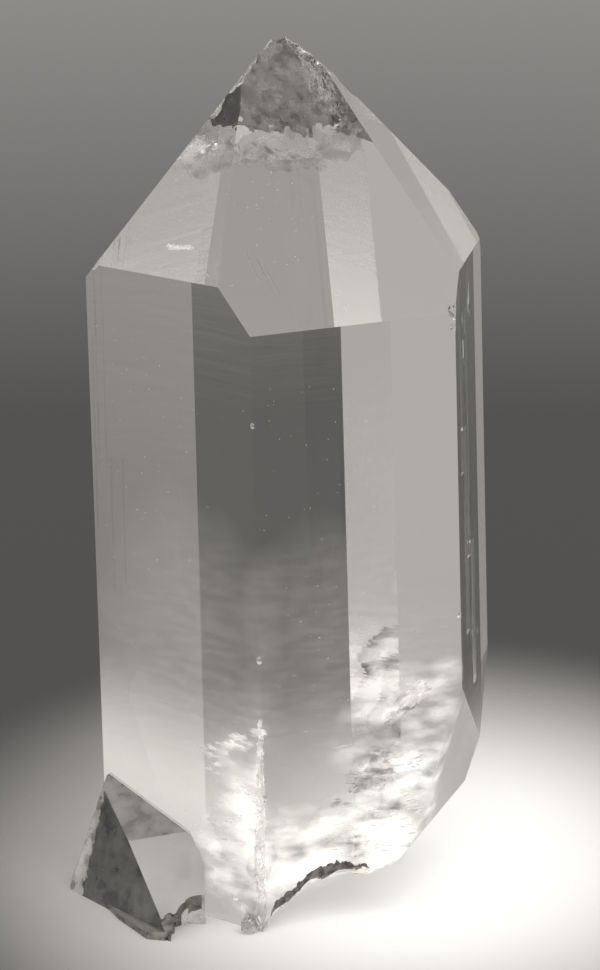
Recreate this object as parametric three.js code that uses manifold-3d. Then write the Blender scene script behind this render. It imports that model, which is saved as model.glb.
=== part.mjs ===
// A natural quartz crystal: a six-sided prism with an uneven six-faced point, broken off at the root,
// with a small crystal grown on its lower left side. The two are one solid.
// Millimetres, +Z up. The origin is on the standing surface, below the middle of the bounding box.
import * as THREE from 'three';
import { mergeVertices } from 'three/addons/utils/BufferGeometryUtils.js';
import Module from 'manifold-3d';

// Main crystal: each prism face has its own distance from the long axis, so the section is uneven.
const firstFaceAzimuth = -40.55;
const faceDistances = [8.08, 8.33, 8.91, 7.59, 8.83, 8.43];
// Height at which each point face meets its prism face.
const shoulderHeights = [30.68, 28.62, 30.23, 32.24, 30.4, 30.0];
// The point faces of quartz always lean this far from the long axis.
const pointFaceTilt = 51.79;

// The crystal stands a little off vertical, with its point towards -X.
const leanAngle = 1.48;
const standingCutHeight = -0.3;

// Broken underside. Its front edge follows the second prism face: [distance along the face, height].
const frontRim = [[-6, -0.8], [-4.6, 0], [-4, 0.9], [-3.3, 1.15], [-2.3, 1.9], [-1.3, 2.3], [0.9, 2.1], [1.9, 2.35]];
const rimLipDepth = 0.55;
const rimLipRise = 0.5;
const undersideSlope = 0.28;
const undersideSpan = 26;
const undersideSteps = 46;
const undersideDepth = 8;

// Hollow between the small crystal and the main one: centre, half widths and height.
const footHollow = { x: -4.7, y: -9.7, halfX: 1.4, halfY: 1.7, height: 1.9 };

// Faces broken off the lower right corner: direction and one point on each.
const cornerBreaks = [
  { normal: [0.703, -0.197, -0.683], point: [4.6, -7.2, 2.35] },
  { normal: [0.886, -0.381, -0.263], point: [7.9, -6.05, 10.4] },
  { normal: [0.9, 0.25, -0.36], point: [9.15, 0.6, 8.2] },
];

// Small crystal: direction and one point on each of its faces.
const smallBlank = { size: 10, x: -8.2, y: -5.5, z: 1.5 };
const smallPeak = [-8.7, -3.19, 5.73];
const smallCrease = [-5.02, -6.34, 3.82];
const smallRidge = [-9.01, -3.98, 5.03];
const smallFaces = [
  { normal: [-0.144, -0.63, 0.763], point: smallPeak },
  { normal: [-0.14, -0.669, 0.73], point: smallCrease },
  { normal: [-0.805, -0.55, 0.222], point: smallRidge },
  { normal: [-0.945, 0, 0.328], point: [-9.08, -3.76, 5.34] },
  { normal: [-0.62, 0.72, 0.31], point: [-9.1, -3.3, 5.6] },
  { normal: [0.909, 0.416, 0], point: smallCrease },
  { normal: [1, 0, 0], point: [-4.38, -8, 2] },
];
// Outline of the chipped foot that flares out under the small crystal.
const footOutline = [
  [-10.8, -1.7], [-10.55, -3.4], [-10.2, -4.25], [-9.45, -4.5], [-9.15, -5.6], [-8.5, -7.4],
  [-7.05, -10.2], [-6.7, -10.5], [-6.3, -10.4], [-5.8, -9.2], [-5.5, -7], [-8, -2],
];
const footTop = 0.17;
const footBottom = -1;

// Flake left standing at the foot of the front edge.
const nub = { x: -2.25, y: -9.25, z: 0.2, radius: 0.62, flatten: 0.7 };

// Shallow ledges on the third prism face: [place along the face, middle height, width, length, depth].
const sideLedges = [
  [-3.1, 24, 0.7, 7, 0.12], [-2.2, 17.5, 0.9, 10, 0.16], [-1.3, 22, 0.5, 12, 0.1], [-0.4, 13, 0.8, 7, 0.14],
];

const blankSize = 60;
const cutterSize = 90;

const wasm = await Module();
wasm.setup();

// A closed three.js geometry as a solid that can be cut and joined.
function toSolid(geometry) {
  const plain = geometry.clone();
  plain.deleteAttribute('normal');
  plain.deleteAttribute('uv');
  const merged = mergeVertices(plain, 1e-4);
  return new wasm.Manifold(new wasm.Mesh({
    numProp: 3,
    vertProperties: new Float32Array(merged.attributes.position.array),
    triVerts: new Uint32Array(merged.index.array),
  }));
}

function toGeometry(solid) {
  const mesh = solid.getMesh();
  const geometry = new THREE.BufferGeometry();
  geometry.setAttribute('position', new THREE.BufferAttribute(new Float32Array(mesh.vertProperties), 3));
  geometry.setIndex(new THREE.BufferAttribute(new Uint32Array(mesh.triVerts), 1));
  return geometry;
}

function cube(size, x, y, z) {
  return toSolid(new THREE.BoxGeometry(size, size, size).translate(x, y, z));
}

// Everything beyond a plane, as a block large enough to cut the crystal with.
function beyond({ normal, point }) {
  const out = new THREE.Vector3(...normal).normalize();
  const turn = new THREE.Quaternion().setFromUnitVectors(new THREE.Vector3(0, 0, 1), out);
  const middle = new THREE.Vector3(...point).addScaledVector(out, cutterSize / 2);
  const geometry = new THREE.BoxGeometry(cutterSize, cutterSize, cutterSize);
  return toSolid(geometry.applyQuaternion(turn).translate(middle.x, middle.y, middle.z));
}

// A crystal face from its azimuth, its lean from the long axis, and its distance from the origin.
function crystalFace(azimuth, tilt, distance) {
  const a = THREE.MathUtils.degToRad(azimuth);
  const t = THREE.MathUtils.degToRad(tilt);
  const out = new THREE.Vector3(Math.sin(t) * Math.sin(a), -Math.sin(t) * Math.cos(a), Math.cos(t));
  return { out, distance, normal: out.toArray(), point: out.clone().multiplyScalar(distance).toArray() };
}

const azimuths = faceDistances.map((_, i) => firstFaceAzimuth + 60 * i);
const prismFaces = azimuths.map((azimuth, i) => crystalFace(azimuth, 90, faceDistances[i]));
const pointFaces = azimuths.map((azimuth, i) => {
  const t = THREE.MathUtils.degToRad(pointFaceTilt);
  return crystalFace(azimuth, pointFaceTilt, Math.sin(t) * faceDistances[i] + Math.cos(t) * shoulderHeights[i]);
});

// The point where three crystal faces meet.
function corner(a, b, c) {
  const bc = b.out.clone().cross(c.out);
  const ca = c.out.clone().cross(a.out);
  const ab = a.out.clone().cross(b.out);
  const volume = a.out.dot(bc);
  return bc.multiplyScalar(a.distance)
    .addScaledVector(ca, b.distance)
    .addScaledVector(ab, c.distance)
    .divideScalar(volume);
}

// A shell-shaped chip: a rounded lump that bites into an edge between two faces.
function chip(place, faceA, faceB, radius, depth, turn) {
  const out = faceA.out.clone().add(faceB.out).normalize();
  const middle = place.clone().addScaledVector(out, radius - depth);
  const lump = new THREE.IcosahedronGeometry(radius, 2).scale(1, 1, 0.9).rotateX(turn).rotateY(turn * 0.7);
  return toSolid(lump.translate(middle.x, middle.y, middle.z));
}

// A row of uneven chips along the edge from one corner towards another.
function edgeChips(start, end, faceA, faceB, count, radius, depth) {
  return Array.from({ length: count }, (_, i) => {
    const place = start.clone().lerp(end, (i + 0.5 + 0.3 * Math.sin(4.1 * i)) / count);
    const vary = 1 + 0.35 * Math.sin(2.7 * i + radius);
    return chip(place, faceA, faceB, radius * vary, depth * vary, 1.3 * i + radius);
  });
}

// Straight lines between hand-set points.
function profile(points, t) {
  const next = points.findIndex(([at]) => at > t);
  if (next === 0) return points[0][1];
  if (next < 0) return points[points.length - 1][1];
  const [t0, z0] = points[next - 1];
  const [t1, z1] = points[next];
  return z0 + (z1 - z0) * (t - t0) / (t1 - t0);
}

// Height of the broken underside: a raised lip along the front, sloping back to the standing cut.
function undersideHeight(x, y) {
  const a = THREE.MathUtils.degToRad(azimuths[1]);
  const along = x * Math.cos(a) + y * Math.sin(a);
  const inward = Math.max(0, faceDistances[1] - x * Math.sin(a) + y * Math.cos(a));
  const lip = rimLipRise * Math.min(1, inward / rimLipDepth);
  const front = profile(frontRim, along) - lip - undersideSlope * Math.max(0, inward - rimLipDepth);
  const { halfX, halfY, height } = footHollow;
  const hollow = height * (1 - ((x - footHollow.x) / halfX) ** 2 - ((y - footHollow.y) / halfY) ** 2);
  const grain = 0.1 * Math.sin(2.1 * x + 1.3 * y) + 0.07 * Math.sin(5.3 * x - 3.7 * y) + 0.05 * Math.sin(9.1 * x + 7.7 * y);
  return Math.max(front, hollow, -1.2) + grain;
}

function undersideBlock() {
  const geometry = new THREE.BoxGeometry(
    undersideSpan, undersideSpan, undersideDepth, undersideSteps, undersideSteps, 1);
  const position = geometry.attributes.position;
  for (let i = 0; i < position.count; i += 1) {
    const isTop = position.getZ(i) > 0;
    const height = isTop ? undersideHeight(position.getX(i), position.getY(i)) : -undersideDepth;
    position.setZ(i, height);
  }
  return toSolid(geometry);
}

// A thin block let into a prism face.
function sideLedge(face, azimuth, [along, height, width, length, depth]) {
  const a = THREE.MathUtils.degToRad(azimuth);
  const middle = face.out.clone().multiplyScalar(face.distance);
  const geometry = new THREE.BoxGeometry(width, 2 * depth, length).rotateZ(a + 0.04);
  geometry.translate(middle.x + along * Math.cos(a), middle.y + along * Math.sin(a), height);
  return toSolid(geometry);
}

function mainCrystal() {
  const [r1, r2, r3, r4, , r6] = pointFaces;
  const [m1, m2, m3, m4] = prismFaces;
  const tip = corner(r2, r4, r6);
  const tipRight = corner(r2, r3, r4);
  const tipLeft = corner(r1, r2, r6);
  const rightShoulder = corner(r3, r4, m4);
  const leftShoulder = corner(r1, r6, m1);
  const faces = [...prismFaces, ...pointFaces, ...cornerBreaks].map(beyond);
  const chips = [
    chip(tip, r2, r6, 1.7, 0.34, 0.4),
    chip(tip, r4, r6, 1.3, 0.3, 1.9),
    ...edgeChips(tip, tipRight, r2, r4, 3, 1, 0.2),
    ...edgeChips(tip, tipLeft, r2, r6, 4, 0.9, 0.18),
    ...edgeChips(tipRight, tipRight.clone().lerp(rightShoulder, 0.3), r3, r4, 4, 0.8, 0.17),
    ...edgeChips(tipLeft, tipLeft.clone().lerp(leftShoulder, 0.22), r1, r6, 4, 0.8, 0.17),
    chip(corner(r2, m2, m3), r2, m3, 0.9, 0.22, 2.2),
    chip(corner(r3, m3, m4), m3, m4, 1.1, 0.16, 0.9),
    chip(leftShoulder, r6, m1, 0.8, 0.12, 1.4),
  ];
  const ledges = sideLedges.map((ledge) => sideLedge(m3, azimuths[2], ledge));
  return [...faces, ...chips, ...ledges].reduce(
    (solid, cutter) => solid.subtract(cutter), cube(blankSize, 0, 0, blankSize / 2 - undersideDepth / 2));
}

function smallCrystal() {
  const { size, x, y, z } = smallBlank;
  return smallFaces.map(beyond).reduce((solid, cutter) => solid.subtract(cutter), cube(size, x, y, z));
}

// The chipped foot under the small crystal, wider at the bottom than at the top.
function smallFoot() {
  const outline = new THREE.Shape(footOutline.map(([x, y]) => new THREE.Vector2(x, y)));
  const geometry = new THREE.ExtrudeGeometry(outline, { depth: footTop - footBottom, bevelEnabled: false, steps: 1 });
  return toSolid(geometry.translate(0, 0, footBottom));
}

function footNub() {
  const lump = new THREE.IcosahedronGeometry(nub.radius, 0).scale(1, nub.flatten, 0.85).rotateZ(0.5);
  return toSolid(lump.translate(nub.x, nub.y, nub.z));
}

function quartzCrystal() {
  const underside = undersideBlock();
  const grown = mainCrystal().add(smallCrystal()).subtract(underside).add(smallFoot()).add(footNub());
  const leaning = toGeometry(grown).rotateY(THREE.MathUtils.degToRad(-leanAngle));
  const standing = toSolid(leaning).subtract(beyond({ normal: [0, 0, -1], point: [0, 0, standingCutHeight] }));
  const geometry = toGeometry(standing);
  geometry.computeBoundingBox();
  const box = geometry.boundingBox;
  geometry.translate(-(box.min.x + box.max.x) / 2, -(box.min.y + box.max.y) / 2, -box.min.z);
  geometry.computeVertexNormals();
  const material = new THREE.MeshStandardMaterial({
    color: 0xd9d4cb, roughness: 0.08, metalness: 0, transparent: true, opacity: 0.45,
  });
  const crystal = new THREE.Mesh(geometry, material);
  crystal.name = 'quartz_crystal';
  return crystal;
}

const group = new THREE.Group();
group.add(quartzCrystal());

export default group;
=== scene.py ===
import math
import random

import bmesh
import bpy
from mathutils import Matrix, Vector, noise
from mathutils.bvhtree import BVHTree


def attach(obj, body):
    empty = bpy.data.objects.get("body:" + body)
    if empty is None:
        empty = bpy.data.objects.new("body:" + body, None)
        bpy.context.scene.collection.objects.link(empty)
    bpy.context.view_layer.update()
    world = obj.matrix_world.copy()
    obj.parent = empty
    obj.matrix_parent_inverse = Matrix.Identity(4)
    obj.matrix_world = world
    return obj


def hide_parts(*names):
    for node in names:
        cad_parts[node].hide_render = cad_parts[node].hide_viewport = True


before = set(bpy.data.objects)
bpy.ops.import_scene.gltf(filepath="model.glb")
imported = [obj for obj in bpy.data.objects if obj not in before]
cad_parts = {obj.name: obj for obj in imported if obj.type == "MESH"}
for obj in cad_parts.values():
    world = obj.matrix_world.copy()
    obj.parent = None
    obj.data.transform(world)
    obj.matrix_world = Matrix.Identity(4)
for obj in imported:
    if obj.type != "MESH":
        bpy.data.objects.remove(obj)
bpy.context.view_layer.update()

mm = 0.001
scene = bpy.context.scene
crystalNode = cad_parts["quartz_crystal"]

# The faces are measured in the crystal's own upright frame, in millimetres; the crystal leans a little.
lean = {"angle": -1.48, "shift": (0.87, 0.48, 0.3)}
standing = Matrix.Translation(Vector(lean["shift"])) @ Matrix.Rotation(math.radians(lean["angle"]), 4, "Y")
prismFaces = {"azimuth": -40.55, "reach": (8.08, 8.33, 8.91, 7.59, 8.83, 8.43)}
pointFaces = {"tilt": 51.79, "shoulder": (30.68, 28.62, 30.23, 32.24, 30.4, 30.0)}

# dimension, lacunarity and octaves of the fractal noises
jagged = (0.6, 2.3, 4)
broken = (0.8, 2.1, 3)
etched = (1.0, 2.1, 3)
wavy = (0.7, 2.2, 3)


def faceAxes(face):
    # foot, along, up and out of a face such as prism2 or point1, seen from outside
    index = int(face[-1]) - 1
    azimuth = math.radians(prismFaces["azimuth"] + 60 * index)
    tilt = math.radians(pointFaces["tilt"] if face.startswith("point") else 90)
    level = Vector((math.sin(azimuth), -math.cos(azimuth), 0))
    out = level * math.sin(tilt) + Vector((0, 0, math.cos(tilt)))
    along = Vector((-level.y, level.x, 0))
    foot = level * prismFaces["reach"][index]
    if face.startswith("point"):
        foot.z = pointFaces["shoulder"][index]
    return foot, along, out.cross(along), out


def onFace(face, along, height, inward=0.0):
    # a point on (or just inside) a face, by its distance along the face and its height
    foot, side, up, out = faceAxes(face)
    return foot + up * ((height - foot.z) / up.z) + side * along - out * inward


def faceMatrix(face, along, height, inward=0.0, turn=0.0, tip=0.0):
    # x along the face, y up it, z out of it; turned in the face and then tipped about its own x
    _, side, up, out = faceAxes(face)
    axes = Matrix((side, up, out)).transposed().to_4x4()
    spin = Matrix.Rotation(math.radians(turn), 4, "Z") @ Matrix.Rotation(math.radians(tip), 4, "X")
    return Matrix.Translation(onFace(face, along, height, inward)) @ axes @ spin


def planeMatrix(normal, point):
    # x level in the plane, y up it, z out of it
    out = Vector(normal).normalized()
    side = Vector((-out.y, out.x, 0)).normalized()
    return Matrix.Translation(Vector(point)) @ Matrix((side, out.cross(side), out)).transposed().to_4x4()


# small helpers for objects and nodes

def addObject(name, mesh, material=None):
    piece = bpy.data.objects.new(name, mesh)
    scene.collection.objects.link(piece)
    if material:
        mesh.materials.append(material)
    return piece


def meshFrom(name, bm, place=None):
    if place is not None:
        bm.transform(Matrix.Scale(mm, 4) @ standing @ place)
    mesh = bpy.data.meshes.new(name)
    bm.to_mesh(mesh)
    bm.free()
    return mesh


def aim(thing, place, direction):
    thing.location = Vector(place) * mm
    thing.rotation_mode = "QUATERNION"
    thing.rotation_quaternion = Vector(direction).to_track_quat("-Z", "Y")


def newMaterial(name):
    material = bpy.data.materials.new(name)
    material.use_nodes = True
    return material, material.node_tree, material.node_tree.nodes["Principled BSDF"]


def setValues(node, **values):
    for name, value in values.items():
        node.inputs[name.replace("_", " ")].default_value = value


def addNode(tree, kind, **values):
    node = tree.nodes.new(kind)
    for key, value in values.items():
        if hasattr(node, key):
            setattr(node, key, value)
        else:
            node.inputs[key].default_value = value
    return node


def joinNodes(tree, *joins):
    for source, target in joins:
        tree.links.new(source, target)


def addRamp(tree, stops):
    node = addNode(tree, "ShaderNodeValToRGB")
    ramp = node.color_ramp
    while len(ramp.elements) < len(stops):
        ramp.elements.new(0.5)
    for element, (position, value) in zip(ramp.elements, stops):
        element.position = position
        element.color = (value, value, value, 1)
    return node


def addRange(tree, low, high, toLow=0.0, toHigh=1.0, **values):
    node = addNode(tree, "ShaderNodeMapRange", **values)
    for name, value in (("From Min", low), ("From Max", high), ("To Min", toLow), ("To Max", toHigh)):
        node.inputs[name].default_value = value
    return node


# camera: the photograph's angle, about 28 cm in front and 16 degrees above

cameraView = {"place": (-1.02, -268.94, 96.98), "look": (0.00718, 0.9607, -0.2775), "lens": 219.3,
              "sensor": 36, "nearest": 10, "farthest": 10000}


def makeCamera(view):
    data = bpy.data.cameras.new("camera")
    data.lens = view["lens"]
    data.sensor_width = view["sensor"]
    data.clip_start = view["nearest"] * mm
    data.clip_end = view["farthest"] * mm
    camera = bpy.data.objects.new("camera", data)
    scene.collection.objects.link(camera)
    aim(camera, view["place"], view["look"])
    scene.camera = camera


makeCamera(cameraView)
scene.view_settings.view_transform = "Standard"
print("camera ready")


# studio: a soft room, darker straight behind, a pale floor and one large soft light

room = {
    # brightness by the height of the direction: straight down is 0, level 0.5, straight up 1
    "soft": [(0.0, 0.42), (0.2, 0.42), (0.36, 0.45), (0.5, 0.42), (0.8, 0.6), (1.0, 1.2)],
    "behind": [(0.0, 0.42), (0.2, 0.31), (0.29, 0.16), (0.325, 0.085), (0.368, 0.09), (0.405, 0.29),
               (0.5, 0.3), (1.0, 1.0)],
    "behindTowards": (-0.14, 0.99, 0.0),
    "behindWidth": (0.17, 0.82),
    "warmth": (1.0, 0.965, 0.93),
}
# the floor glows a little towards its middle: a painted pool of light under the crystal
floorDisc = {"radius": 70, "segments": 128, "middle": (6, 2), "below": 0.01, "squeeze": (1.25, 0.9, 1),
             "fadeFrom": 8, "fadeTo": 33, "colour": (0.83, 0.815, 0.79), "roughness": 0.8,
             "paintedGlowTo": 22, "paintedGlow": 0.32}
softLight = {"place": (120, -260, 420), "target": (0, 0, 15), "size": 420, "power": 1.3}


def makeRoom(look):
    world = bpy.data.worlds.new("room")
    world.use_nodes = True
    scene.world = world
    tree = world.node_tree
    place = addNode(tree, "ShaderNodeTexCoord").outputs["Generated"]
    split = addNode(tree, "ShaderNodeSeparateXYZ")
    height = addRange(tree, -1, 1)
    soft = addRamp(tree, look["soft"])
    behind = addRamp(tree, look["behind"])
    flat = addNode(tree, "ShaderNodeVectorMath", operation="MULTIPLY")
    flat.inputs[1].default_value = (1, 1, 0)
    level = addNode(tree, "ShaderNodeVectorMath", operation="NORMALIZE")
    towards = addNode(tree, "ShaderNodeVectorMath", operation="DOT_PRODUCT")
    towards.inputs[1].default_value = Vector(look["behindTowards"]).normalized()
    amount = addRange(tree, *look["behindWidth"], interpolation_type="SMOOTHSTEP")
    mix = addNode(tree, "ShaderNodeMix", data_type="RGBA")
    tint = addNode(tree, "ShaderNodeMix", data_type="RGBA", blend_type="MULTIPLY")
    tint.inputs["Factor"].default_value = 1
    tint.inputs["B"].default_value = (*look["warmth"], 1)
    joinNodes(tree, (place, split.inputs[0]), (split.outputs["Z"], height.inputs["Value"]),
              (height.outputs["Result"], soft.inputs["Fac"]),
              (height.outputs["Result"], behind.inputs["Fac"]),
              (place, flat.inputs[0]), (flat.outputs[0], level.inputs[0]),
              (level.outputs[0], towards.inputs[0]), (towards.outputs["Value"], amount.inputs["Value"]),
              (amount.outputs["Result"], mix.inputs["Factor"]),
              (soft.outputs["Color"], mix.inputs["A"]), (behind.outputs["Color"], mix.inputs["B"]),
              (mix.outputs["Result"], tint.inputs["A"]),
              (tint.outputs["Result"], tree.nodes["Background"].inputs["Color"]))


def makeFloor(look):
    bm = bmesh.new()
    bmesh.ops.create_circle(bm, cap_ends=True, segments=look["segments"], radius=look["radius"] * mm)
    material, tree, shader = newMaterial("pale_floor")
    setValues(shader, Base_Color=(*look["colour"], 1), Roughness=look["roughness"], Emission_Strength=1)
    place = addNode(tree, "ShaderNodeTexCoord").outputs["Object"]
    oval = addNode(tree, "ShaderNodeVectorMath", operation="MULTIPLY")
    oval.inputs[1].default_value = look["squeeze"]
    length = addNode(tree, "ShaderNodeVectorMath", operation="LENGTH")
    fade = addRange(tree, look["fadeFrom"] * mm, look["fadeTo"] * mm, 1, 0, interpolation_type="SMOOTHSTEP")
    paintedGlow = addRange(tree, 0, look["paintedGlowTo"] * mm, look["paintedGlow"], 0, interpolation_type="SMOOTHSTEP")
    joinNodes(tree, (place, oval.inputs[0]), (oval.outputs[0], length.inputs[0]),
              (length.outputs["Value"], fade.inputs["Value"]),
              (length.outputs["Value"], paintedGlow.inputs["Value"]),
              (fade.outputs["Result"], shader.inputs["Alpha"]),
              (paintedGlow.outputs["Result"], shader.inputs["Emission Color"]))       # a painted pool of light that glows around the crystal's foot, where its shade would fall
    floor = addObject("pale_floor", meshFrom("pale_floor", bm), material)
    floor.location = Vector((*look["middle"], -look["below"])) * mm


def makeSoftLight(look):
    # lights the rough and milky places; the clear faces show only the room
    data = bpy.data.lights.new("soft_light", "AREA")
    data.shape = "DISK"
    data.size = look["size"] * mm
    data.energy = look["power"]
    light = bpy.data.objects.new("soft_light", data)
    scene.collection.objects.link(light)
    aim(light, look["place"], Vector(look["target"]) - Vector(look["place"]))
    light.visible_transmission = False
    light.visible_glossy = False


makeRoom(room)
makeFloor(floorDisc)
makeSoftLight(softLight)
print("studio ready")


# materials

quartzIor = 1.544
bumpDepth = 0.05
roughDetail = 5
# a roughness below 0 counts as 0, so half of each clear face is quite smooth and the rest is a little worn
clearLook = {"colour": (0.98, 0.975, 0.965), "absorb": (0.80, 0.77, 0.73), "density": 6, "detail": 2,
             "wear": 110, "smooth": -0.03, "worn": 0.03,
             "growth": 150, "growthStretch": (1, 1, 16), "lines": 0.05}
roughLooks = {
    # the broken root, the painted shade on its front rim and under the small crystal, and the smooth oblique
    # breaks
    "broken_quartz": {"dark": (0.67, 0.655, 0.63), "light": (0.93, 0.91, 0.88), "clear": 0.5, "patch": 3500,
                      "smooth": 0.25, "rough": 0.65, "bump": 0.6},
    # near black: painted shade on the front rim, on the small crystal's underside and edges, and in the chip
    # at the tip
    "painted_shade": {"dark": (0.05, 0.045, 0.04), "light": (0.22, 0.2, 0.18), "clear": 0.0, "patch": 2600,
                    "smooth": 0.25, "rough": 0.6, "bump": 0.8},
    "cleft_quartz": {"dark": (0.84, 0.83, 0.81), "light": (0.97, 0.96, 0.94), "clear": 0.75, "patch": 450,
                     "stretch": (3, 1, 1), "smooth": 0.35, "rough": 0.55, "bump": 0.05},
    # the worn tip, the dark corner beside it and the paler wear below both
    "etched_tip": {"dark": (0.04, 0.039, 0.037), "light": (0.2, 0.195, 0.19), "clear": 1.0, "patch": 1900,
                   "stretch": (1, 1, 0.6), "smooth": 0.05, "rough": 0.3, "bump": 0.3},
    "etched_shoulder": {"dark": (0.006, 0.006, 0.005), "light": (0.03, 0.029, 0.028), "clear": 1.0,
                        "patch": 1500, "smooth": 0.1, "rough": 0.3, "bump": 0.2},
    "etched_face": {"dark": (0.4, 0.394, 0.388), "light": (0.84, 0.83, 0.82), "clear": 1.0, "patch": 1400,
                    "smooth": 0.1, "rough": 0.32, "bump": 0.2},
    # the small crystal's faces, each painted its own grey as painted reflection and shade, and the painted
    # light band down its left edge
    "side_upper": {"dark": (0.19, 0.187, 0.183), "light": (0.40, 0.393, 0.385), "clear": 0.4, "patch": 1100,
                   "smooth": 0.2, "rough": 0.45, "bump": 0.2},
    "side_lower": {"dark": (0.38, 0.375, 0.367), "light": (0.45, 0.444, 0.434), "clear": 0.12, "patch": 500,
                   "smooth": 0.35, "rough": 0.5, "bump": 0.05},
    "side_left": {"dark": (0.02, 0.02, 0.019), "light": (0.11, 0.108, 0.105), "clear": 0.5, "patch": 900,
                  "smooth": 0.2, "rough": 0.5, "bump": 0.3},
    "side_band": {"dark": (0.2, 0.195, 0.19), "light": (0.6, 0.59, 0.57), "clear": 0.5, "patch": 1500,
                  "smooth": 0.2, "rough": 0.4, "bump": 0.3},
}
milkyLooks = {
    # clouds and haze are covered from the first to the second noise value, at most by the third
    "milky_cloud": {"light": (0.98, 0.965, 0.94), "dark": (0.75, 0.73, 0.70), "grain": 420, "detail": 4,
                    "stretch": (1, 1, 2.6), "cover": (0.34, 0.6, 0.92), "roughness": 0.6, "paintedGlow": 0.6},
    "faint_haze": {"light": (0.97, 0.95, 0.93), "dark": (0.88, 0.86, 0.84), "grain": 700, "detail": 4,
                   "stretch": (1, 1, 4), "cover": (-0.5, 1.5, 1.0), "roughness": 0.6, "paintedGlow": 0.3},
    "milky_flakes": {"light": (0.97, 0.955, 0.93), "dark": (0.78, 0.76, 0.73), "grain": 2500, "detail": 2,
                     "roughness": 0.5, "paintedGlow": 0.32},
    "grey_flakes": {"light": (0.72, 0.70, 0.68), "dark": (0.4, 0.39, 0.375), "grain": 2500, "detail": 2,
                    "roughness": 0.35, "paintedGlow": 0.3},
}
patchInputs = (("Scale", "Float", 100), ("Detail", "Float", 4), ("Stretch", "Vector", (1, 1, 1)),
               ("Dark", "Color", (0.5, 0.5, 0.5, 1)), ("Light", "Color", (1, 1, 1, 1)),
               ("Smooth", "Float", 0), ("Rough", "Float", 0.5))
patchOutputs = (("Color", "Color"), ("Roughness", "Float"), ("Grain", "Float"))
patchEdge = (0.38, 0.62)


def patchGroup():
    # noise in the object's own space, mixed into two colours and two roughnesses
    group = bpy.data.node_groups.new("patches", "ShaderNodeTree")
    for name, kind, value in patchInputs:
        socket = group.interface.new_socket(name=name, in_out="INPUT", socket_type="NodeSocket" + kind)
        socket.default_value = value
    for name, kind in patchOutputs:
        group.interface.new_socket(name=name, in_out="OUTPUT", socket_type="NodeSocket" + kind)
    given = addNode(group, "NodeGroupInput").outputs
    result = addNode(group, "NodeGroupOutput").inputs
    place = addNode(group, "ShaderNodeTexCoord").outputs["Object"]
    stretched = addNode(group, "ShaderNodeVectorMath", operation="MULTIPLY")
    grain = addNode(group, "ShaderNodeTexNoise")
    mask = addRange(group, *patchEdge)
    tone = addNode(group, "ShaderNodeMix", data_type="RGBA")
    gloss = addNode(group, "ShaderNodeMix", data_type="FLOAT")
    joinNodes(group, (place, stretched.inputs[0]), (given["Stretch"], stretched.inputs[1]),
              (stretched.outputs[0], grain.inputs["Vector"]), (given["Scale"], grain.inputs["Scale"]),
              (given["Detail"], grain.inputs["Detail"]), (grain.outputs["Fac"], mask.inputs["Value"]),
              (mask.outputs["Result"], tone.inputs["Factor"]),
              (mask.outputs["Result"], gloss.inputs["Factor"]),
              (given["Dark"], tone.inputs["A"]), (given["Light"], tone.inputs["B"]),
              (given["Smooth"], gloss.inputs["A"]), (given["Rough"], gloss.inputs["B"]),
              (tone.outputs["Result"], result["Color"]), (gloss.outputs["Result"], result["Roughness"]),
              (grain.outputs["Fac"], result["Grain"]))
    return group


patchNodes = patchGroup()


def addPatches(tree, scale, detail, stretch=(1, 1, 1), **values):
    node = addNode(tree, "ShaderNodeGroup", node_tree=patchNodes)
    for name, value in dict(values, Scale=scale, Detail=detail, Stretch=stretch).items():
        node.inputs[name].default_value = (*value, 1) if name in ("Dark", "Light") else value
    return node.outputs


def addBump(tree, shader, height, strength):
    bump = addNode(tree, "ShaderNodeBump", Strength=strength, Distance=bumpDepth * mm)
    joinNodes(tree, (height, bump.inputs["Height"]), (bump.outputs["Normal"], shader.inputs["Normal"]))


def quartzMaterial(look):
    material, tree, shader = newMaterial("clear_quartz")
    setValues(shader, Metallic=0, Base_Color=(*look["colour"], 1), IOR=quartzIor, Transmission_Weight=1)
    wear = addPatches(tree, look["wear"], look["detail"], Smooth=look["smooth"], Rough=look["worn"])
    growth = addPatches(tree, look["growth"], look["detail"], look["growthStretch"])
    addBump(tree, shader, growth["Grain"], look["lines"])        # faint level growth lines
    absorb = addNode(tree, "ShaderNodeVolumeAbsorption", Density=look["density"])
    absorb.inputs["Color"].default_value = (*look["absorb"], 1)
    joinNodes(tree, (wear["Roughness"], shader.inputs["Roughness"]),
              (absorb.outputs["Volume"], tree.nodes["Material Output"].inputs["Volume"]))
    return material


def roughMaterial(name, look):
    # etched, smoky or broken quartz, and faces painted with shade and reflections, that lets less light
    # through, in soft patches
    material, tree, shader = newMaterial(name)
    setValues(shader, Metallic=0, IOR=quartzIor, Transmission_Weight=look["clear"])
    patches = addPatches(tree, look["patch"], roughDetail, look.get("stretch", (1, 1, 1)),
                         Dark=look["dark"], Light=look["light"], Smooth=look["smooth"], Rough=look["rough"])
    joinNodes(tree, (patches["Color"], shader.inputs["Base Color"]),
              (patches["Roughness"], shader.inputs["Roughness"]))
    addBump(tree, shader, patches["Grain"], look["bump"])
    return material


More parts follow.
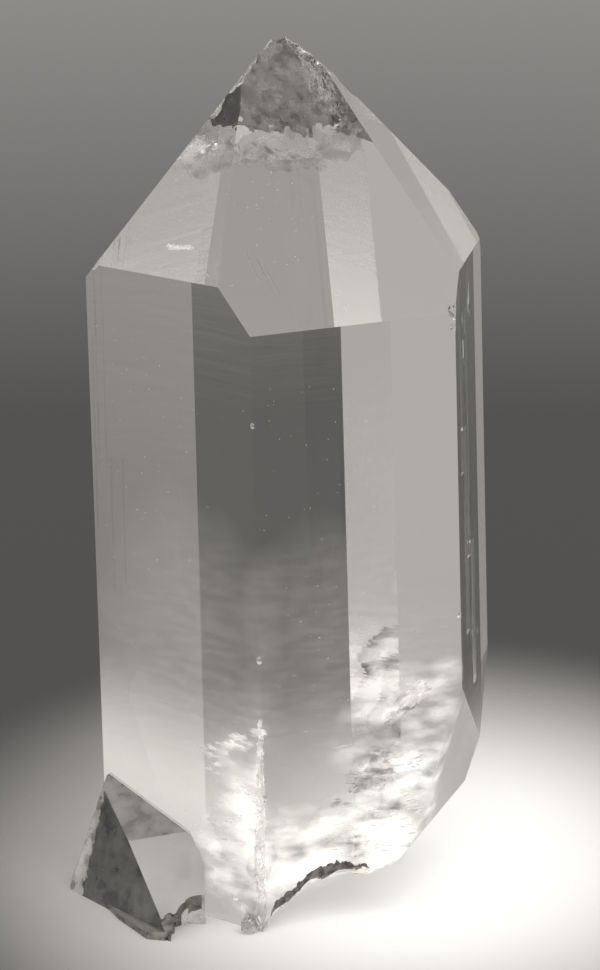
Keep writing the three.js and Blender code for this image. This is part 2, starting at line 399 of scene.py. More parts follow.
def milkyMaterial(name, look):
    # the little glow stands for the light that the crystal holds around each flake and cloud
    material, tree, shader = newMaterial(name)
    setValues(shader, Roughness=look["roughness"], Emission_Strength=look["paintedGlow"])
    tone = addPatches(tree, look["grain"], look["detail"], look.get("stretch", (1, 1, 1)),
                      Dark=look["dark"], Light=look["light"])
    joinNodes(tree, (tone["Color"], shader.inputs["Base Color"]),
              (tone["Color"], shader.inputs["Emission Color"]))
    if "cover" in look:
        # feathery, level streaks that thin out towards the rim of each lens
        start, full, most = look["cover"]
        cover = addRange(tree, start, full, 0, most)
        fade = addNode(tree, "ShaderNodeAttribute", attribute_name="fade")
        soft = addNode(tree, "ShaderNodeMath", operation="MULTIPLY")
        joinNodes(tree, (tone["Grain"], cover.inputs["Value"]), (cover.outputs["Result"], soft.inputs[0]),
                  (fade.outputs["Fac"], soft.inputs[1]), (soft.outputs[0], shader.inputs["Alpha"]))
    return material


clearQuartz = quartzMaterial(clearLook)
roughQuartz = [roughMaterial(name, look) for name, look in roughLooks.items()]
slots = {name: i + 1 for i, name in enumerate(roughLooks)}
milky = {name: milkyMaterial(name, look) for name, look in milkyLooks.items()}
print("materials ready")


# the crystal, from the solid: flat faces put back together, long edges a little worn

edgeWear = {"weld": 0.0005, "flat": 0.4, "width": 0.05, "shortest": 1.6, "angle": 12, "smallest": 1.5}
boundary = {"face": "prism1", "middle": (-1.6, 3.7), "span": (7.4, 5.4), "steps": (24, 20),
            "near": 0.02, "far": 0.06, "wave": 0.012, "scale": 1.5, "seed": 5.0}
strip = {"above": 0.02, "thick": 0.8, "jag": 0.16, "jagScale": 2.6, "shallow": 0.7, "uneven": 0.5,
         "scale": 1.6}
etchBlock = {"above": 0.01, "thick": 1.2}
chipShape = {"lumps": 0.28, "scale": 2.3, "turn": 31}
grooveShape = {"above": 0.01, "widest": 0.45}
lensShape = {"turn": 0, "tip": 0, "thick": 0.04, "dense": 1, "uneven": 0.45, "flatter": 1.6}
underside = {"span": 24, "steps": 150, "top": -2, "bottom": -3, "facingDown": -0.2, "sameAngle": 0.999,
             "spread": 4, "scale": 0.9, "seed": 1.7, "bite": 0.28, "untouched": 0.05, "fullFrom": 0.6}


def crystalMesh(node, wear):
    bm = bmesh.new()
    bm.from_mesh(node.data)
    bmesh.ops.remove_doubles(bm, verts=bm.verts, dist=wear["weld"] * mm)
    bmesh.ops.dissolve_limit(bm, angle_limit=math.radians(wear["flat"]), verts=bm.verts, edges=bm.edges)
    bmesh.ops.recalc_face_normals(bm, faces=bm.faces)
    worn = [e for e in bm.edges if e.calc_length() > wear["shortest"] * mm
            and e.calc_face_angle_signed(0) > math.radians(wear["angle"])
            and min(f.calc_area() for f in e.link_faces) > wear["smallest"] * mm * mm]
    bmesh.ops.bevel(bm, geom=worn, offset=wear["width"] * mm, segments=1, affect="EDGES", clamp_overlap=True)
    for face in bm.faces:
        face.smooth = False
    print("worn edges", len(worn))
    return meshFrom("crystal_body", bm)


def addVerts(geom):
    return [g for g in geom if isinstance(g, bmesh.types.BMVert)]


def blockAbove(steps, wide, tall, thick, surface, slot=0):
    # a closed block over a grid; surface(x, y) gives the height of its near side
    bm = bmesh.new()
    bmesh.ops.create_grid(bm, x_segments=steps[0], y_segments=steps[1], size=0.5)
    near = list(bm.verts)
    extruded = bmesh.ops.extrude_face_region(bm, geom=list(bm.faces))
    for vert in addVerts(extruded["geom"]):
        vert.co = Vector((vert.co.x * wide, vert.co.y * tall, thick))
    for vert in near:
        x, y = vert.co.x * wide, vert.co.y * tall
        vert.co = Vector((x, y, surface(x, y)))
    bmesh.ops.recalc_face_normals(bm, faces=bm.faces)
    for face in bm.faces:
        face.material_index = slot
        face.smooth = False
    return bm


def gapCutter(name, look):
    # the thin boundary where the small crystal sits against the large one, joined only at its foot
    def surface(x, y):
        return look["near"] + look["wave"] * noise.noise(Vector((x, y, look["seed"])) * look["scale"])
    bm = blockAbove(look["steps"], *look["span"], look["far"], surface)
    return addObject(name, meshFrom(name, bm, faceMatrix(look["face"], *look["middle"])))


def heightAt(line, x):
    for (x1, y1), (x2, y2) in zip(line, line[1:]):
        if x <= x2:
            return y1 + (y2 - y1) * max(0.0, x - x1) / (x2 - x1)
    return line[-1][1]


def stripCutter(name, look):
    # a ragged strip broken from the lower edge of a face, below a line
    left, right = look["line"][0][0], look["line"][-1][0]
    middle = Vector(((left + right) / 2, (look["bottom"] + look["top"]) / 2, 0))

    def surface(x, y):
        jag = strip["jag"] * noise.fractal(Vector((x * strip["jagScale"], 0, look["seed"])), *jagged)
        if y + middle.y > heightAt(look["line"], x + middle.x) + jag:
            return strip["above"]
        rough = noise.fractal(Vector((x, y, look["seed"])) * strip["scale"], *broken)
        return -look["depth"] * (strip["shallow"] + strip["uneven"] * rough)
    size = (right - left, look["top"] - look["bottom"])
    # the strip is painted near-black as shade unless its look names another slot
    bm = blockAbove(look["steps"], *size, strip["thick"], surface, slots[look.get("slot", "painted_shade")])
    return addObject(name, meshFrom(name, bm, look["place"] @ Matrix.Translation(middle)))


def etchCutter(name, look):
    # pits, ripples or streaks in a face, fading out towards the rim of their patch
    wide, tall = look["span"]
    acrossScale, upScale = look["scale"]

    def surface(x, y):
        within = max(0.0, 1 - math.hypot(x / wide, y / tall) * 2)
        rough = noise.fractal(Vector((x * acrossScale, y * upScale, look["seed"])), *etched)
        bite = rough + look["cover"] + look.get("solid", 0) * min(within, 0.5)
        return etchBlock["above"] - look["depth"] * max(0.0, bite) * min(1.0, within / look["fade"])
    bm = blockAbove(look["steps"], wide, tall, etchBlock["thick"], surface, slots.get(look.get("slot"), 0))
    return addObject(name, meshFrom(name, bm, faceMatrix(look["face"], *look["middle"])))


def chipCutter(name, face, along, height, inward, radius, flat, seed, slot=""):
    # a small many-sided lump that takes a shell-shaped chip from an edge
    bm = bmesh.new()
    bmesh.ops.create_icosphere(bm, subdivisions=2, radius=radius)
    for side in bm.faces:
        side.material_index = slots.get(slot, 0)
    for vert in bm.verts:
        lumps = noise.noise(vert.co * chipShape["scale"] / radius + Vector((seed, 0, 0)))
        vert.co *= 1 + chipShape["lumps"] * lumps
        vert.co.z *= flat
    place = faceMatrix(face, along, height, inward, chipShape["turn"] * seed)
    return addObject(name, meshFrom(name, bm, place))


def grooveCutter(name, face, start, end, width, depth):
    # a long thin groove with tapered ends
    above = grooveShape["above"]
    a, b = onFace(face, *start, -above), onFace(face, *end, -above)
    out = faceAxes(face)[3]
    side = (b - a).cross(out).normalized() * width / 2
    middle = a.lerp(b, grooveShape["widest"])
    bm = bmesh.new()
    verts = [bm.verts.new(p) for p in (a, b, middle + side, middle - side, middle - out * (depth + above))]
    for corners in ((0, 3, 2), (1, 2, 3), (0, 2, 4), (0, 4, 3), (1, 4, 2), (1, 3, 4)):
        bm.faces.new([verts[i] for i in corners])
    bmesh.ops.recalc_face_normals(bm, faces=bm.faces)
    return addObject(name, meshFrom(name, bm, Matrix.Identity(4)))


def lensPoint(look, r, angle, sign):
    # a point of a thin wavy lens with an uneven outline; r is 0 in the middle and 1 at the rim
    wide, tall = look["span"]
    around = Vector((2 * math.cos(angle), 2 * math.sin(angle), look["seed"]))
    rim = 1 + look["uneven"] * noise.noise(around)
    x, y = wide / 2 * r * rim * math.cos(angle), tall / 2 * r * rim * math.sin(angle)
    bend = noise.fractal(Vector((x, y * look["flatter"], look["seed"])) * look["scale"], *wavy)
    return Vector((x, y, look["wave"] * bend + sign * look["thick"] * (1 - r * r)))


def keepLeft(bm, known, cut):
    # cuts the newest lens along its line x = cut, keeps the left side and closes it
    fresh = {v for v in bm.verts if v not in known}
    parts = [v for v in bm.verts if v in fresh]
    parts += [g for kind in (bm.edges, bm.faces) for g in kind if g.verts[0] in fresh]
    done = bmesh.ops.bisect_plane(bm, geom=parts, dist=1e-6, plane_co=(cut, 0, 0), plane_no=(1, 0, 0),
                                  clear_outer=True)
    rim = [g for g in done["geom_cut"] if isinstance(g, bmesh.types.BMEdge)]
    bmesh.ops.holes_fill(bm, edges=rim, sides=0)


def addLens(bm, look, rings=9, spokes=44):
    # its verts are marked 1 in the middle of the lens and 0 at the rim
    look = {**lensShape, **look}
    known = set(bm.verts)
    marks = bm.verts.layers.float.get("fade") or bm.verts.layers.float.new("fade")

    def newVert(ring, spoke, sign):
        r = ring / rings
        vert = bm.verts.new(lensPoint(look, r, 2 * math.pi * spoke / spokes, sign))
        vert[marks] = look["dense"] * (1 - r ** 2)
        return vert
    rimVerts = [newVert(rings, s, 0) for s in range(spokes)]
    for sign in (1, -1):
        middle = newVert(0, 0, sign)
        loops = [[newVert(r, s, sign) for s in range(spokes)] for r in range(1, rings)] + [rimVerts]
        for s in range(spokes):
            t = (s + 1) % spokes
            bm.faces.new((middle, loops[0][s], loops[0][t])[::sign])
            for inner, outer in zip(loops, loops[1:]):
                bm.faces.new((inner[s], outer[s], outer[t], inner[t])[::sign])
    if "cut" in look:
        keepLeft(bm, known, look["cut"])
    place = faceMatrix(look["face"], *look["middle"], turn=look["turn"], tip=look["tip"])
    bmesh.ops.transform(bm, matrix=place, verts=[v for v in bm.verts if v not in known])


def crackCutter(name, look):
    # a thin opening that flashes like silver
    bm = bmesh.new()
    addLens(bm, look)
    return addObject(name, meshFrom(name, bm, Matrix.Identity(4)))


def heightsBelow(solid, verts, look):
    # the solid's height above each vert that is under it, and a little beyond its outline
    cleft = [standing.to_3x3() @ Vector(normal).normalized()
             for name, normal, _ in markedFaces if name == "cleft_quartz"]
    tree = BVHTree.FromObject(solid, bpy.context.evaluated_depsgraph_get())
    heights = {}
    for vert in verts:
        hit, normal, _, _ = tree.ray_cast(Vector((vert.co.x, vert.co.y, look["top"])) * mm, Vector((0, 0, 1)))
        if hit and normal.z < look["facingDown"] and max(normal.dot(n) for n in cleft) < look["sameAngle"]:
            heights[vert] = hit.z / mm
    for _ in range(look["spread"]):
        known = dict(heights)
        for vert in verts:
            near = [known[v] for v in (e.other_vert(vert) for e in vert.link_edges) if v in known]
            if vert not in known and near:
                heights[vert] = sum(near) / len(near)
    return heights


def ridged(point, octaves=4):
    total, size = 0.0, 1.0
    for octave in range(octaves):
        total += size * (1 - abs(noise.noise(point * 2 ** octave)) * 2)
        size *= 0.5
    return total / 2


def undersideCutter(name, solid, look):
    # follows the solid from below, a little higher and rougher; the flat cut and the oblique breaks stay
    bm = bmesh.new()
    bmesh.ops.create_grid(bm, x_segments=look["steps"], y_segments=look["steps"], size=look["span"] / 2)
    top = list(bm.verts)
    heights = heightsBelow(solid, top, look)
    extruded = bmesh.ops.extrude_face_region(bm, geom=list(bm.faces))
    for vert in addVerts(extruded["geom"]):
        vert.co.z = look["bottom"]
    for vert in top:
        base = heights.get(vert, 0.0)
        rough = 0.5 + 0.5 * ridged(Vector((vert.co.x, vert.co.y, look["seed"])) * look["scale"])
        raised = min(1.0, max(0.0, base - look["untouched"]) / look["fullFrom"])
        vert.co.z = base + raised * look["bite"] * rough - (look["untouched"] if raised == 0 else 0)
    bmesh.ops.recalc_face_normals(bm, faces=bm.faces)
    bm.transform(Matrix.Scale(mm, 4))
    for face in bm.faces:
        face.material_index = slots["broken_quartz"]
        face.smooth = False
    return addObject(name, meshFrom(name, bm))


def inOrder(mesh):
    # the cuts leave verts and faces in an order that can change from run to run
    bm = bmesh.new()
    bm.from_mesh(mesh)
    vertRank = {v: i for i, v in enumerate(sorted(bm.verts, key=lambda v: tuple(v.co)))}
    faceRank = {f: i for i, f in enumerate(sorted(bm.faces, key=lambda f: tuple(f.calc_center_median())))}
    bm.verts.sort(key=lambda v: vertRank[v])
    bm.faces.sort(key=lambda f: faceRank[f])
    bm.to_mesh(mesh)
    bm.free()


def cutAway(piece, cutters):
    for cutter in cutters:
        for material in piece.data.materials:
            cutter.data.materials.append(material)
        cut = piece.modifiers.new(cutter.name, "BOOLEAN")
        cut.operation = "DIFFERENCE"
        cut.solver = "MANIFOLD"
        cut.object = cutter
    bpy.context.view_layer.update()
    evaluated = piece.evaluated_get(bpy.context.evaluated_depsgraph_get())
    mesh = bpy.data.meshes.new_from_object(evaluated)
    inOrder(mesh)
    piece.modifiers.clear()
    piece.data = mesh
    for cutter in cutters:
        bpy.data.objects.remove(cutter)


# normal and one point of the small crystal's faces and of the oblique breaks at the lower right
lowerFace = ((-0.14, -0.669, 0.73), (-5.02, -6.34, 3.82))
leftFace = ((-0.805, -0.55, 0.222), (-9.01, -3.98, 5.03))
markedFaces = [
    # the small crystal's faces, found by their planes, get their painted greys of reflection and shade
    ("side_upper", (-0.144, -0.63, 0.763), (-8.7, -3.19, 5.73)),
    ("side_lower", *lowerFace),
    ("side_left", *leftFace),
    ("side_band", (-0.945, 0, 0.328), (-9.08, -3.76, 5.34)),
    ("cleft_quartz", (0.703, -0.197, -0.683), (4.6, -7.2, 2.35)),
    ("cleft_quartz", (0.886, -0.381, -0.263), (7.9, -6.05, 10.4)),
    ("cleft_quartz", (0.9, 0.25, -0.36), (9.15, 0.6, 8.2)),
]
downEdge = Matrix.Rotation(math.radians(-90), 4, "Z")
paintedStrips = [
    # the lower edges of the second face and of the small crystal's lower face, broken and painted near-black
    # as shade
    {"place": faceMatrix("prism2", 0, 0), "depth": 0.12, "seed": 2.4, "bottom": 0.1, "top": 3.3,
     "steps": (88, 54), "line": [(-4.3, 0.7), (-4.0, 1.3), (-3.3, 1.65), (-2.3, 2.35), (-1.3, 2.75),
                                 (-0.4, 2.65), (0.4, 2.4), (0.9, 2.0)]},
    {"place": planeMatrix(*lowerFace), "depth": 0.1, "seed": 5.8, "bottom": -6.1, "top": -3.4,
     "steps": (44, 46), "line": [(-1.3, -5.2), (-0.96, -5.06), (-0.7, -4.68), (-0.48, -4.39),
                                 (-0.07, -4.29), (0.43, -4.05), (1.24, -3.8)]},
    # the painted light band down the small crystal's left edge; x runs down the edge here
    {"place": planeMatrix(*leftFace) @ downEdge, "depth": 0.03, "seed": 4.1, "bottom": -2.2, "top": 0.3,
     "steps": (76, 40), "slot": "side_band", "line": [(-0.4, -0.15), (0.1, -0.1), (1.86, -0.22),
                                                      (3.39, -0.41), (4.67, -0.58), (5.5, -0.6)]},
]
etchings = [
    # the worn tip, the dark corner beside it and the paler wear below both
    {"face": "point2", "middle": (0.6, 38.6), "span": (9.0, 6.8), "scale": (2.2, 1.8), "depth": 0.045,
     "cover": -0.5, "solid": 5, "fade": 0.1, "steps": (140, 110), "seed": 4.0, "slot": "etched_tip"},
    {"face": "point1", "middle": (-0.6, 39.2), "span": (8.5, 7.0), "scale": (1.6, 1.6), "depth": 0.03,
     "cover": -0.2, "solid": 6, "fade": 0.1, "steps": (100, 90), "seed": 2.0, "slot": "etched_shoulder"},
    {"face": "point1", "middle": (-0.8, 35.7), "span": (5.6, 4.0), "scale": (1.8, 1.8), "depth": 0.015,
     "cover": -0.5, "solid": 4, "fade": 0.2, "steps": (80, 60), "seed": 7.0, "slot": "etched_face"},
    {"face": "point2", "middle": (0.2, 36.0), "span": (8.0, 3.6), "scale": (1.6, 1.6), "depth": 0.015,
     "cover": -0.6, "solid": 4, "fade": 0.2, "steps": (110, 60), "seed": 5.0, "slot": "etched_face"},
    # the upright ripples of the narrow third face
    {"face": "prism3", "middle": (-2.0, 27.2), "span": (4.6, 7.5), "scale": (1.5, 0.35), "depth": 0.09,
     "cover": 0.0, "fade": 0.5, "steps": (50, 60), "seed": 6.0},
    {"face": "prism3", "middle": (-1.6, 19.5), "span": (3.6, 6.5), "scale": (1.3, 0.4), "depth": 0.06,
     "cover": -0.05, "fade": 0.5, "steps": (40, 50), "seed": 8.0},
    {"face": "prism3", "middle": (-1.2, 11.5), "span": (4.0, 5.0), "scale": (1.3, 0.5), "depth": 0.07,
     "cover": 0.0, "fade": 0.5, "steps": (40, 50), "seed": 3.0},
]
grooves = [
    # face, start and end as distance along and height, width, depth; the last six are streaks in the worn tip
    ("point2", (-3.9, 32.8), (-3.2, 29.7), 0.06, 0.02), ("point2", (-3.5, 32.4), (-2.8, 29.9), 0.05, 0.02),
    ("point2", (-3.1, 31.6), (-2.5, 29.8), 0.05, 0.015), ("point1", (1.9, 31.3), (2.6, 30.9), 0.12, 0.03),
    ("point1", (2.1, 30.8), (3.0, 30.5), 0.1, 0.03), ("prism2", (-1.2, 8.4), (0.3, 8.5), 0.06, 0.02),
    ("point2", (1.62, 38.9), (1.15, 37.4), 0.13, 0.12), ("point2", (2.2, 38.85), (1.8, 37.4), 0.11, 0.12),
    ("point2", (2.56, 38.25), (2.25, 37.2), 0.1, 0.1), ("point2", (1.05, 39.55), (1.2, 38.7), 0.09, 0.11),
    ("point2", (1.2, 38.75), (0.75, 38.0), 0.09, 0.11), ("point2", (2.75, 37.6), (2.2, 36.9), 0.09, 0.1),
]
chips = [
    # face, distance along it and height, how far inside, radius, flatness
    ("point1", (1.05, 38.4), 0.05, 0.34, 0.6), ("point2", (-2.05, 38.75), 0.05, 0.3, 0.6),
    ("point2", (1.5, 39.75), 0.1, 0.24, 0.8), ("point2", (2.1, 39.2), 0.08, 0.2, 0.8),
    ("point2", (2.7, 38.75), 0.1, 0.26, 0.8), ("point2", (3.75, 37.7), 0.08, 0.3, 0.6),
    ("prism1", (4.95, 13.14), 0.0, 0.2, 0.7), ("prism1", (4.95, 24.4), 0.0, 0.14, 0.7),
    ("prism2", (5.5, 28.9), 0.1, 0.34, 0.6), ("prism2", (5.5, 28.0), 0.05, 0.26, 0.6),
    ("prism2", (-4.52, 6.4), 0.0, 0.2, 0.7), ("prism2", (5.48, 14.0), 0.0, 0.18, 0.6),
]
# a chip at the very tip, painted near-black as shade in its hollow
tipChip = {"face": "point2", "along": 0.55, "height": 40.5, "inward": 0.1, "radius": 0.5, "flat": 0.6,
           "seed": 3, "slot": "painted_shade"}
# the grey patch low on the second face
crack = {"face": "prism2", "middle": (1.0, 6.5, 0.7), "span": (2.4, 1.3), "turn": 8, "tip": -28,
         "thick": 0.03, "wave": 0.2, "scale": 1.6, "seed": 7.1}
# where the broken and worn faces are painted near-black as shade
paintedShadeLimits = {"sameAngle": 0.9995, "onPlane": 0.04,
           "smallLeft": -4.6, "smallTop": 6, "smallOut": 0.1, "facingFront": -0.2,
           "rimTop": 3.4, "rimFront": -4, "front": (-3.9, 0.4), "deep": 0.3, "uneven": 0.2, "scale": 1.4,
           "cornerLeft": -3.6, "cornerFrom": 0.8}


def isShadedEdge(polygon, middle, look):
    # a worn edge of the small crystal that faces the front, painted near-black as shade
    out = (standing.inverted() @ middle).dot(faceAxes("prism1")[3]) - prismFaces["reach"][0]
    return (middle.x < look["smallLeft"] and middle.z < look["smallTop"] and out > look["smallOut"]
            and polygon.normal.y < look["facingFront"])


def isShadedBreak(middle, look):
    # the front of the broken rim and the underside of the small crystal, painted near-black as shade
    if middle.z >= look["rimTop"] or middle.y >= look["rimFront"]:
        return False
    spot = standing.inverted() @ middle
    _, along, _, out = faceAxes("prism2")
    inward = prismFaces["reach"][1] - spot.dot(out)
    left, right = look["front"]
    nearFront = left < spot.dot(along) < right and (
        inward < look["deep"] + look["uneven"] * noise.noise(spot * look["scale"]))
    inCorner = middle.x < look["cornerLeft"] and middle.z > look["cornerFrom"]
    return nearFront or middle.x < look["smallLeft"] or inCorner


def markFaces(mesh, look):
    # flat faces are found by their planes
    turned = standing.to_3x3()
    planes = [(slots[name], turned @ Vector(normal).normalized(), standing @ Vector(point))
              for name, normal, point in markedFaces]
    for polygon in mesh.polygons:
        middle = polygon.center / mm
        if polygon.material_index == 0:
            found = [slot for slot, normal, point in planes
                     if polygon.normal.dot(normal) > look["sameAngle"]
                     and abs((middle - point).dot(normal)) < look["onPlane"]]
            if found:
                polygon.material_index = found[0]
            elif isShadedEdge(polygon, middle, look):
                polygon.material_index = slots["painted_shade"]
        elif polygon.material_index == slots["broken_quartz"] and isShadedBreak(middle, look):
            polygon.material_index = slots["painted_shade"]


crystal = addObject("crystal_body", crystalMesh(crystalNode, edgeWear), clearQuartz)
for material in roughQuartz:
    crystal.data.materials.append(material)
cutters = [undersideCutter("underside_cutter", crystal, underside), gapCutter("boundary_cutter", boundary)]
cutters += [stripCutter(f"painted_strip_{i}", look) for i, look in enumerate(paintedStrips)]
cutters += [etchCutter(f"etching_{i}", look) for i, look in enumerate(etchings)]
cutters += [grooveCutter(f"groove_{i}", *values) for i, values in enumerate(grooves)]
cutters += [chipCutter(f"chip_{i}", face, *spot, *values, i) for i, (face, spot, *values) in enumerate(chips)]
cutters += [chipCutter("tip_chip", **tipChip), crackCutter("crack", crack)]
cutAway(crystal, cutters)
markFaces(crystal.data, paintedShadeLimits)
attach(crystal, "root")
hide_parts("quartz_crystal")
print("crystal ready", len(crystal.data.polygons), "faces")


# milky veils, grey films and fine specks: many tiny chips just inside the faces

flake = {"margin": 0.02, "tries": 12, "patchScale": (1.1, 3.2), "patchNoise": 0.25, "shortest": 0.5,
         "sway": 0.5, "lift": 0.3}
milkyBands = [
    # beside the front edge, in feathers to its left and low on the first face
    {"face": "prism1", "start": (4.8, 10.3), "end": (4.5, 1.2), "width": (0.1, 0.4), "depth": (0.03, 0.2),
     "count": 900, "size": 0.2, "stretch": 2.4, "gaps": -0.3, "grain": (0.2, 0.98)},
    {"face": "prism1", "start": (4.7, 9.6), "end": (1.3, 7.4), "width": (0.35, 0.9), "depth": (0.03, 0.5),
     "count": 420, "size": 0.42, "stretch": 7, "gaps": 0.15, "grain": (0.97, -0.22)},
    {"face": "prism1", "start": (3.9, 6.6), "end": (1.9, 3.4), "width": (1.5, 1.6), "depth": (0.1, 0.5),
     "count": 110, "size": 0.4, "stretch": 7, "gaps": 0.2},
    # the bright patch of the second face, its foot and the place between
    {"face": "prism2", "start": (1.7, 9.35), "end": (3.8, 10.75), "width": (0.2, 0.55), "depth": (0.12, 0.5),
     "count": 420, "size": 0.26, "stretch": 3, "gaps": -0.02, "grain": (0.84, 0.54)},
    {"face": "prism2", "start": (-0.9, 2.9), "end": (3.3, 4.9), "width": (1.3, 1.7), "depth": (0.1, 0.8),
     "count": 420, "size": 0.4, "stretch": 6, "gaps": 0.12},
    {"face": "prism2", "start": (1.4, 7.2), "end": (3.4, 7.8), "width": (0.7, 0.9), "depth": (0.2, 1.0),
     "count": 160, "size": 0.3, "stretch": 4, "gaps": 0.2},
    # the small bright mark on the left point face
    {"face": "point1", "start": (-0.8, 31.9), "end": (0.7, 32.0), "width": (0.16, 0.1), "depth": (0.04, 0.12),
     "count": 60, "size": 0.3, "stretch": 3, "gaps": -1},
]
greyBands = [
    {"face": "prism2", "start": (0.3, 6.2), "end": (1.9, 7.0), "width": (0.5, 0.6), "depth": (0.3, 0.9),
     "count": 420, "size": 0.34, "stretch": 4.5, "gaps": 0.0},
    {"face": "prism2", "start": (-0.8, 5.6), "end": (0.4, 4.6), "width": (0.4, 0.5), "depth": (0.4, 1.0),
     "count": 120, "size": 0.22, "stretch": 3, "gaps": 0.1},
    {"face": "prism2", "start": (1.6, 9.2), "end": (2.8, 9.9), "width": (0.12, 0.2), "depth": (0.1, 0.3),
     "count": 60, "size": 0.3, "stretch": 5, "gaps": -0.1, "grain": (0.84, 0.54)},
]
speckBands = [
    {"face": "prism1", "start": (-3, 28), "end": (2, 4), "width": (5, 7), "depth": (0.02, 1.0),
     "count": 130, "size": 0.05, "stretch": 1.6, "gaps": -1},
    {"face": "prism2", "start": (-2.5, 27), "end": (-1.5, 5), "width": (4, 5), "depth": (0.02, 1.0),
     "count": 90, "size": 0.05, "stretch": 1.6, "gaps": -1},
    {"face": "prism2", "start": (-2, 15), "end": (1, 6), "width": (5, 7), "depth": (0.02, 1.0),
     "count": 24, "size": 0.07, "stretch": 1.6, "gaps": -1},
    {"face": "point1", "start": (-3, 32), "end": (0, 36), "width": (4, 2), "depth": (0.02, 0.5),
     "count": 60, "size": 0.07, "stretch": 1.3, "gaps": -1},
    {"face": "point2", "start": (-2, 30), "end": (0, 37.5), "width": (5, 3), "depth": (0.02, 0.5),
     "count": 60, "size": 0.06, "stretch": 1.2, "gaps": -1},
]


def isInside(tree, point, reach):
    spot = (standing @ point) * mm
    hit, normal, _, distance = tree.find_nearest(spot)
    return (spot - hit).dot(normal) < 0 and distance > reach * mm


def flakeSpot(band, chance, seed):
    # a place in the band, or none where the band has a gap
    start, end = Vector(band["start"]), Vector(band["end"])
    run = (end - start).normalized()
    t = chance.random()
    width = band["width"][0] * (1 - t) + band["width"][1] * t
    offset = (chance.random() + chance.random() - 1) * width
    spot = start.lerp(end, t) + Vector((-run.y, run.x)) * offset
    acrossScale, upScale = flake["patchScale"]
    patch = noise.fractal(Vector((spot.x * acrossScale, spot.y * upScale, seed)), *wavy)
    return None if patch < band["gaps"] + flake["patchNoise"] * (chance.random() - 0.5) else spot


def flakeCorners(band, spot, chance, tree):
    # the four corners of a flake, or none where it would stick out of the crystal
    _, along, up, out = faceAxes(band["face"])
    grain = Vector(band.get("grain", (1, 0)))
    across = along * grain.x + up * grain.y
    over = up * grain.x - along * grain.y
    depth = band["depth"][0] + (band["depth"][1] - band["depth"][0]) * chance.random()
    middle = onFace(band["face"], spot.x, spot.y, depth)
    length = band["size"] * (flake["shortest"] + chance.random())
    breadth = length / band["stretch"]
    if not isInside(tree, middle, breadth / 2 + flake["margin"]):
        return []
    sway = (chance.random() - 0.5) * flake["sway"]
    lengthwise = (across + over * sway + out * sway).normalized() * length / 2
    crosswise = (over - across * sway + out * (chance.random() - 0.5)).normalized() * breadth / 2
    lift = out * breadth * flake["lift"]
    return [middle - lengthwise, middle + lengthwise, middle - crosswise + lift, middle + crosswise + lift]


def flakePiece(name, bands, material, seed, tree):
    chance = random.Random(seed)
    points = []
    for band in bands:
        full = len(points) + 4 * band["count"]
        for _ in range(band["count"] * flake["tries"]):
            if len(points) >= full:
                break
            spot = flakeSpot(band, chance, seed)
            if spot is not None:
                points += flakeCorners(band, spot, chance, tree)
    sides = ((0, 1, 2), (1, 0, 3), (2, 3, 0), (3, 2, 1))
    faces = [[first + corner for corner in side] for first in range(0, len(points), 4) for side in sides]
    mesh = bpy.data.meshes.new(name)
    mesh.from_pydata([(standing @ p) * mm for p in points], [], faces)
    mesh.validate()
    piece = addObject(name, mesh, material)
    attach(piece, "root")
    print(name, len(faces), "faces")


# clouds and haze: thin lenses just inside the faces that fade out towards their rims

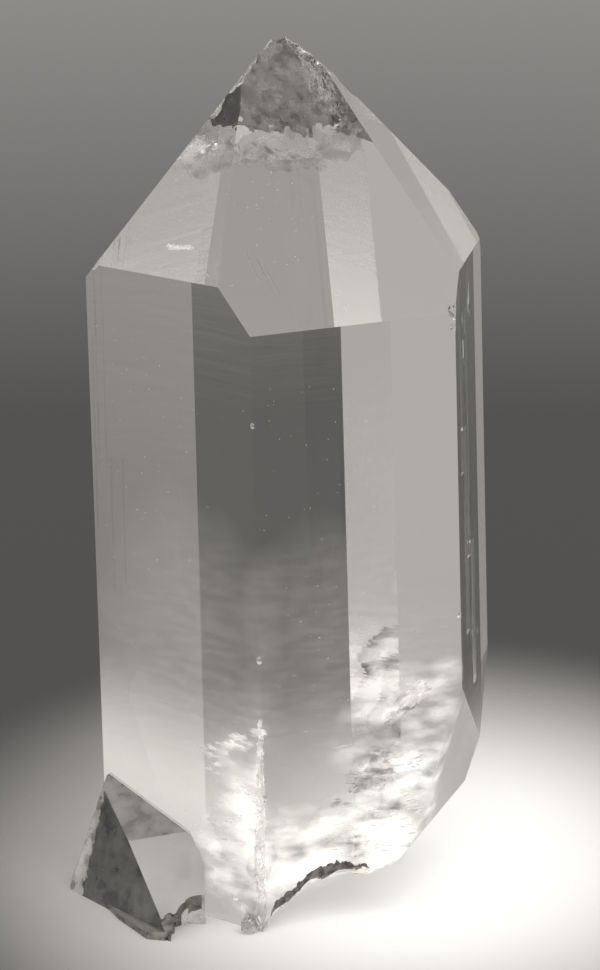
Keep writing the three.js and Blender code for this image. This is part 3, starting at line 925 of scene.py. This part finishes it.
clouds = [
    # beside the front edge and low on the first face
    {"face": "prism1", "middle": (4.72, 5.2, 0.18), "span": (6.4, 10.8), "cut": 0.0, "wave": 0.06,
     "scale": 0.9, "seed": 5.2, "dense": 0.5},
    {"face": "prism1", "middle": (4.6, 5.0, 0.42), "span": (6.0, 8.6), "cut": 0.0, "wave": 0.1,
     "scale": 0.8, "seed": 2.9, "dense": 0.4},
    {"face": "prism1", "middle": (2.9, 2.6, 0.7), "span": (5.4, 4.8), "wave": 0.1, "scale": 0.8, "seed": 1.7},
    # across the foot of the second face
    {"face": "prism2", "middle": (0.0, 2.6, 0.3), "span": (12.0, 6.6), "turn": 6, "wave": 0.1,
     "scale": 0.7, "seed": 8.4},
    {"face": "prism2", "middle": (0.8, 3.2, 0.8), "span": (10.0, 6.4), "turn": 12, "tip": 4, "wave": 0.2,
     "scale": 0.7, "seed": 6.4, "dense": 0.8},
    # up its right side
    {"face": "prism2", "middle": (3.6, 6.4, 0.6), "span": (4.6, 8.6), "turn": -14, "wave": 0.2,
     "scale": 0.8, "seed": 4.7, "dense": 0.8},
    {"face": "prism2", "middle": (1.4, 7.9, 0.8), "span": (5.0, 6.4), "turn": 18, "wave": 0.3,
     "scale": 0.8, "seed": 9.9, "dense": 0.45},
    {"face": "prism2", "middle": (3.6, 9.4, 0.4), "span": (4.6, 6.4), "turn": -10, "wave": 0.1,
     "scale": 0.8, "seed": 12.3, "dense": 0.75},
    # its left foot and behind its bright patch
    {"face": "prism2", "middle": (-2.2, 3.6, 0.45), "span": (5.6, 5.2), "wave": 0.1, "scale": 0.7,
     "seed": 7.5, "dense": 0.8},
    {"face": "prism2", "middle": (2.8, 10.05, 0.4), "span": (2.9, 1.1), "turn": 33, "tip": 10, "wave": 0.2,
     "scale": 1.6, "seed": 3.3, "dense": 0.7},
]
hazes = [
    # above the milky root
    {"face": "prism1", "middle": (0.8, 11.5, 0.5), "span": (13, 17), "wave": 0.1, "scale": 0.5,
     "seed": 14.8, "dense": 0.25},
    {"face": "prism2", "middle": (0.0, 11.5, 0.5), "span": (13, 16), "wave": 0.1, "scale": 0.5,
     "seed": 16.1, "dense": 0.25},
]
cloudMesh = {"rings": 14, "spokes": 60, "margin": 0.08}


def cloudPiece(name, looks, material, tree):
    bm = bmesh.new()
    for look in looks:
        addLens(bm, look, cloudMesh["rings"], cloudMesh["spokes"])
    for face in bm.faces:
        face.smooth = True
    margin = cloudMesh["margin"] * mm
    for vert in bm.verts:           # kept just inside the crystal
        spot = standing @ vert.co * mm
        hit, normal, _, _ = tree.find_nearest(spot)
        if (hit - spot).dot(normal) < margin:
            vert.co = standing.inverted() @ ((hit - normal * margin) / mm)
    piece = addObject(name, meshFrom(name, bm, Matrix.Identity(4)), material)
    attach(piece, "root")
    print(name, len(piece.data.polygons), "faces")


bpy.context.view_layer.update()
crystalTree = BVHTree.FromObject(crystal, bpy.context.evaluated_depsgraph_get())
cloudPiece("milky_clouds", clouds, milky["milky_cloud"], crystalTree)
cloudPiece("faint_haze", hazes, milky["faint_haze"], crystalTree)
flakePiece("milky_veils", milkyBands, milky["milky_flakes"], 11, crystalTree)
flakePiece("grey_films", greyBands, milky["grey_flakes"], 23, crystalTree)
flakePiece("fine_specks", speckBands, milky["milky_flakes"], 37, crystalTree)
